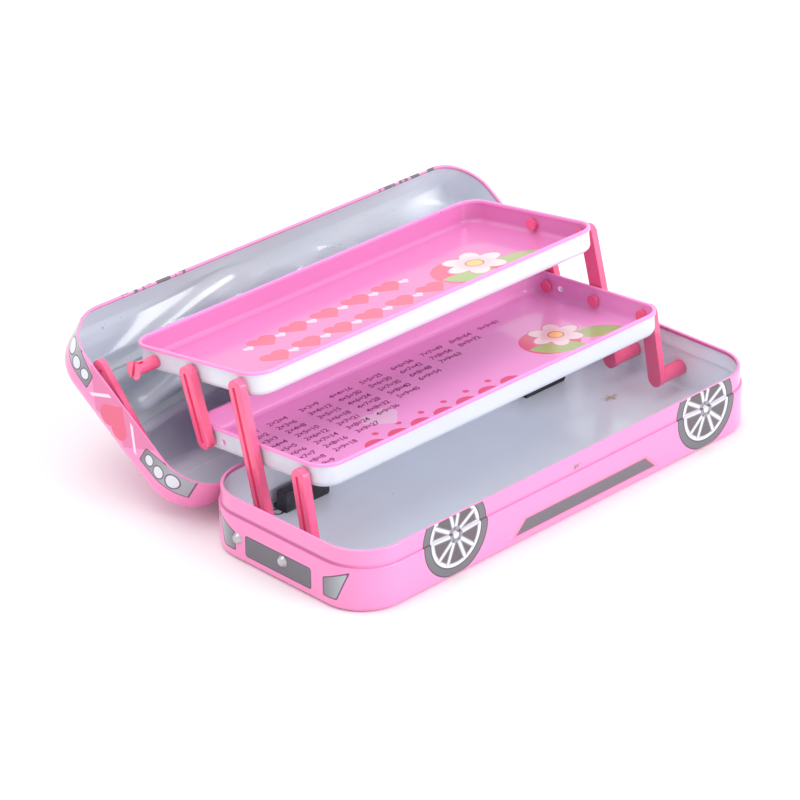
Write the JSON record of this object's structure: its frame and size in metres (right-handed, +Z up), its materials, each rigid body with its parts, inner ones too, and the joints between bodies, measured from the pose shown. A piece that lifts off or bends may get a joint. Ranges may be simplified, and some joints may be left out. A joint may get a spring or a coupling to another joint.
{
  "type": "pencil case",
  "caption": "Hinged pink tin pencil case, open, with two trays on folding plastic links over the base compartment and a deep lid lying back",
  "frame": {"origin": "centre of the base's flat underside, on the table", "axes": "+X along the case's length, +Y towards the lid hinge, +Z up"},
  "size_m": [0.2136, 0.1667, 0.0658],
  "materials": {
    "pink_tin": "glossy lacquered tinplate",
    "tray_tin": "glossy lacquered tinplate",
    "coral_plastic": "moulded, slightly translucent",
    "black_plastic": "moulded",
    "bright_steel": "nickel plated"
  },
  "bodies": {
    "base": {"base_tin": "pink_tin", "foot_front_left": "black_plastic", "foot_front_right": "black_plastic", "foot_back_left": "black_plastic", "foot_back_right": "black_plastic", "hinge_leaf_base_left": "bright_steel", "hinge_leaf_base_right": "bright_steel", "hinge_pin_left": "bright_steel", "hinge_pin_right": "bright_steel", "rivet_front_left": "bright_steel", "rivet_front_right": "bright_steel", "rivet_back_left": "bright_steel", "rivet_back_right": "bright_steel"},
    "lid": {"lid_tin": "pink_tin", "hinge_leaf_lid_left": "bright_steel", "hinge_leaf_lid_right": "bright_steel", "lid_stud_left": "coral_plastic"},
    "lid_strips": {"lid_strip_left": "coral_plastic"},
    "front_links": {"link_front_left": "coral_plastic", "link_front_right": "coral_plastic"},
    "long_links": {"link_long_left": "coral_plastic", "link_long_right": "coral_plastic"},
    "lower_tray": {"tray_lower": "tray_tin"},
    "back_links": {"link_back_left": "coral_plastic", "link_back_right": "coral_plastic"},
    "upper_tray": {"tray_upper": "tray_tin", "snap_peg_left": "coral_plastic"}
  },
  "joints": [
    {"name": "lid_fold", "type": "hinge", "parent": "base", "child": "lid", "pos_m": [0, 0.04371, 0.0162], "axis": [1, 0, 0], "range_deg": [0, 110]},
    {"name": "long_link_fold", "type": "hinge", "parent": "base", "child": "long_links", "pos_m": [0, 0.0214, 0.0092], "axis": [1, 0, 0], "range_deg": [0, 83]},
    {"name": "front_link_fold", "type": "hinge", "parent": "base", "child": "front_links", "pos_m": [0, -0.002, 0.0092], "axis": [1, 0, 0], "range_deg": [0, 80]},
    {"name": "lower_tray_turn", "type": "hinge", "parent": "long_links", "child": "lower_tray", "pos_m": [0, 0.02786, 0.03366], "axis": [1, 0, 0], "range_deg": [-79, 0]},
    {"name": "upper_tray_turn", "type": "hinge", "parent": "long_links", "child": "upper_tray", "pos_m": [0, 0.03466, 0.05938], "axis": [1, 0, 0], "range_deg": [-75, 0]},
    {"name": "back_link_turn", "type": "hinge", "parent": "lower_tray", "child": "back_links", "pos_m": [0, 0.05269, 0.03179], "axis": [1, 0, 0], "range_deg": [0, 82]},
    {"name": "lid_strip_swing", "type": "hinge", "parent": "lid", "child": "lid_strips", "pos_m": [0, 0.06859, 0.0185], "axis": [1, 0, 0], "range_deg": [0, 13]}
  ],
  "couplings": [
    {"joint": "long_link_fold", "follows": "lid_fold", "ratio": 0.74818},
    {"joint": "front_link_fold", "follows": "lid_fold", "ratio": 0.7219},
    {"joint": "lower_tray_turn", "follows": "lid_fold", "ratio": -0.70909},
    {"joint": "upper_tray_turn", "follows": "lid_fold", "ratio": -0.67364},
    {"joint": "back_link_turn", "follows": "lid_fold", "ratio": 0.73403}
  ]
}
